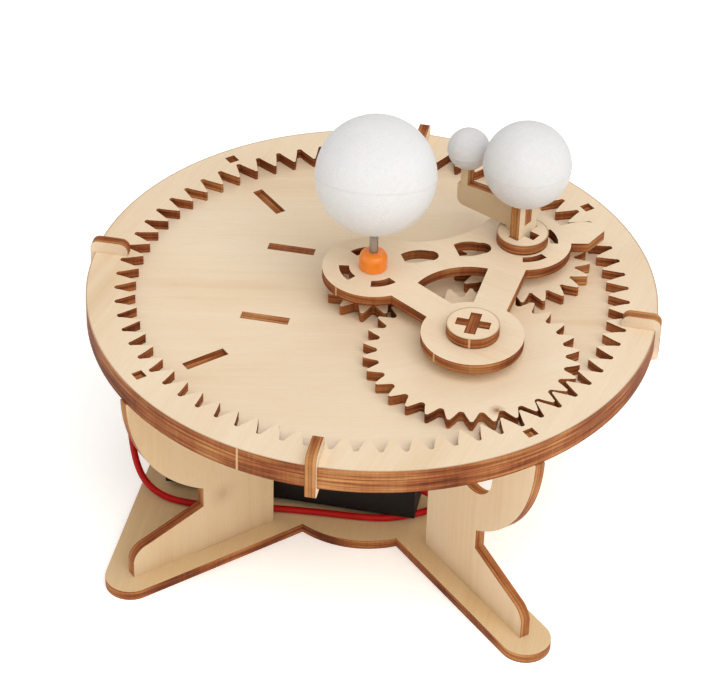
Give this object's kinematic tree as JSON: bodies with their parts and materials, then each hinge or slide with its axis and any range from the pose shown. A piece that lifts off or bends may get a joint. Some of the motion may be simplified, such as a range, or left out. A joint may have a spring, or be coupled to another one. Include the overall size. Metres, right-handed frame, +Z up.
{
  "type": "motorised orrery",
  "caption": "Wooden orrery driven by a small battery motor: a carrier arm walks a gear round a fixed ring gear, turning the Earth and Moon about a Sun ball.",
  "frame": {"origin": "on the ground under the sun's axis, which is also the axis of the carrier's orbit", "axes": "+Z up along the sun shaft; +X to the right towards one edge clip; -Y to the front towards another edge clip"},
  "size_m": [0.1626, 0.1626, 0.128],
  "materials": {
    "plywood": "bare laser-cut plywood with scorched edges",
    "foam": "matte white polystyrene foam",
    "steel": "plain steel",
    "orange_plastic": "glossy orange",
    "gearbox_plastic": "satin yellow",
    "white_plastic": "satin white",
    "black_plastic": "fine matte texture",
    "foam_tape": "soft matte foam tape",
    "cell_sleeve": "plain printed sleeve without lettering",
    "wire_red": "smooth insulation"
  },
  "bodies": {
    "stand": {"base_plate": "plywood", "upright_front_left": "plywood", "upright_front_right": "plywood", "upright_back_right": "plywood", "upright_back_left": "plywood", "base_disc": "plywood", "ring_gear": "plywood", "clip_left": "plywood", "clip_right": "plywood", "clip_front": "plywood", "clip_back": "plywood", "motor_rail_front": "plywood", "motor_rail_back": "plywood", "motor_shelf": "plywood", "gearbox_upper": "gearbox_plastic", "gearbox_lower": "gearbox_plastic", "gearbox_screws": "steel", "motor_can": "steel", "motor_cap": "white_plastic", "foam_pad": "foam_tape", "battery_tray": "black_plastic", "battery_lid": "black_plastic", "lid_screw": "steel", "switch_housing": "black_plastic", "cell_front": "cell_sleeve", "cell_back": "cell_sleeve", "contact_plates": "steel", "contact_springs": "steel", "red_wire": "wire_red"},
    "switch": {"switch_slider": "black_plastic"},
    "sun": {"sun_shaft": "steel", "sun_pinion": "plywood", "hub_spacer": "plywood", "orange_bushing": "orange_plastic", "sun_ball": "foam"},
    "carrier": {"carrier_arm": "plywood"},
    "planet": {"planet_gear": "plywood", "planet_spacer": "plywood", "planet_washer": "plywood", "planet_axle_strip_a": "plywood", "planet_axle_strip_b": "plywood"},
    "earth": {"earth_gear": "plywood", "earth_spacer": "plywood", "earth_washer": "plywood", "earth_axle_plate": "plywood", "moon_arm": "plywood", "earth_ball": "foam", "moon_ball": "foam"}
  },
  "joints": [
    {"name": "carrier_orbit", "type": "hinge", "parent": "stand", "child": "carrier", "pos_m": [0, 0, 0.0788], "axis": [0, 0, 1], "continuous": true},
    {"name": "sun_spin", "type": "hinge", "parent": "stand", "child": "sun", "pos_m": [0, 0, 0.0788], "axis": [0, 0, 1], "continuous": true},
    {"name": "planet_spin", "type": "hinge", "parent": "carrier", "child": "planet", "pos_m": [0.03224, -0.02368, 0.0788], "axis": [0, 0, 1], "continuous": true},
    {"name": "earth_spin", "type": "hinge", "parent": "carrier", "child": "earth", "pos_m": [0.03856, 0.02188, 0.0788], "axis": [0, 0, 1], "continuous": true},
    {"name": "switch_slide", "type": "slide", "parent": "stand", "child": "switch", "axis": [0, 1, 0], "range_m": [0, 0.004]}
  ],
  "couplings": [
    {"joint": "sun_spin", "follows": "carrier_orbit", "ratio": 6.6667},
    {"joint": "planet_spin", "follows": "carrier_orbit", "ratio": -2.2667},
    {"joint": "earth_spin", "follows": "carrier_orbit", "ratio": 3.4}
  ]
}
